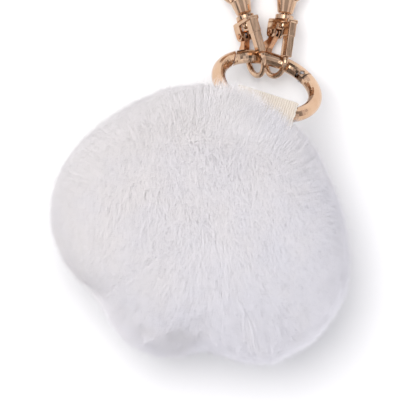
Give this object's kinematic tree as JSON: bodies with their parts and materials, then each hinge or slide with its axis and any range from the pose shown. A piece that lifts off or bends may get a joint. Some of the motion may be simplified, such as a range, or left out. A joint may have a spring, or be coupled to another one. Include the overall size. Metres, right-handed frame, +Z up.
{
  "type": "keychain",
  "caption": "Plush keychain: a stuffed paw of long white faux fur on a cream tape loop, with a gold spring-gate ring and swivel trigger clasps",
  "frame": {"origin": "the middle of the flat patch on the paw's back that it rests on", "axes": "+Y from the paw towards the ring and clasps, +Z up through the paw from its back to its front, +X to the right seen from the front"},
  "size_m": [0.0884, 0.1171, 0.0502],
  "materials": {
    "white_fur": "matte",
    "polyester_filling": "matte",
    "cream_cotton": "matte",
    "champagne_gold": "polished",
    "rose_gold": "polished",
    "spring_steel": "satin"
  },
  "bodies": {
    "paw": {"front_fur_panel": "white_fur", "back_fur_panel": "white_fur", "stuffing": "polyester_filling", "seam_thread": "white_fur"},
    "tape": {"tape_loop": "cream_cotton", "tape_stitching": "cream_cotton"},
    "ring": {"ring_body": "champagne_gold"},
    "gate": {"ring_gate": "champagne_gold", "gate_hinge_pin": "spring_steel", "gate_spring": "spring_steel"},
    "plunger": {"gate_plunger": "spring_steel"},
    "left_clasp": {"left_hook_body": "champagne_gold", "left_lever_pin": "rose_gold", "left_lever_spring": "spring_steel"},
    "left_lever": {"left_lever": "rose_gold"},
    "left_swivel": {"left_swivel_eye": "champagne_gold", "left_swivel_post": "champagne_gold"},
    "right_clasp": {"right_hook_body": "champagne_gold", "right_lever_pin": "rose_gold", "right_lever_spring": "spring_steel"},
    "right_lever": {"right_lever": "rose_gold"},
    "right_swivel": {"right_swivel_eye": "champagne_gold", "right_swivel_post": "champagne_gold"}
  },
  "joints": [
    {"name": "tape_flex", "type": "hinge", "parent": "paw", "child": "tape", "pos_m": [0.01708, 0.02826, 0.02717], "axis": [0.9521, -0.3057, 0], "range_deg": [-15, 45]},
    {"name": "ring_turn", "type": "hinge", "parent": "tape", "child": "ring", "pos_m": [0.0212, 0.0411, 0.01874], "axis": [0.2534, 0.7894, 0.5592], "range_deg": [-35, 35]},
    {"name": "gate_open", "type": "hinge", "parent": "ring", "child": "gate", "pos_m": [0.0316, 0.04406, 0.00984], "axis": [0.2534, 0.7894, 0.5592], "range_deg": [0, 16], "stiffness_Nm_per_rad": 0.2, "springref_deg": -8.59},
    {"name": "plunger_push", "type": "slide", "parent": "gate", "child": "plunger", "axis": [-0.6195, 0.5764, -0.5329], "range_m": [0, 0.0003]},
    {"name": "left_clasp_swing", "type": "hinge", "parent": "gate", "child": "left_clasp", "pos_m": [0.01798, 0.05024, 0.00729], "axis": [0.9432, -0.0734, -0.3239], "range_deg": [-40, 75]},
    {"name": "left_lever_press", "type": "hinge", "parent": "left_clasp", "child": "left_lever", "pos_m": [0.01463, 0.05665, 0.00356], "axis": [-0.8552, -0.1594, 0.4931], "range_deg": [0, 16], "stiffness_Nm_per_rad": 0.02, "springref_deg": -17.19},
    {"name": "left_swivel_turn", "type": "hinge", "parent": "left_clasp", "child": "left_swivel", "pos_m": [0.01858, 0.04916, 0.00797], "axis": [-0.2719, 0.9481, -0.165], "continuous": true},
    {"name": "right_clasp_swing", "type": "hinge", "parent": "gate", "child": "right_clasp", "pos_m": [0.02426, 0.04892, 0.00631], "axis": [0.9456, -0.3241, 0.0289], "range_deg": [-40, 50]},
    {"name": "right_lever_press", "type": "hinge", "parent": "right_clasp", "child": "right_lever", "pos_m": [0.02388, 0.05753, 0.00354], "axis": [-0.7612, 0.1679, 0.6264], "range_deg": [0, 9], "stiffness_Nm_per_rad": 0.02, "springref_deg": -17.19},
    {"name": "right_swivel_turn", "type": "hinge", "parent": "right_clasp", "child": "right_swivel", "pos_m": [0.02483, 0.04871, 0.00706], "axis": [0.1385, 0.9857, -0.0958], "continuous": true}
  ],
  "couplings": [
    {"joint": "plunger_push", "follows": "gate_open", "m_per_rad": 0.00107}
  ]
}
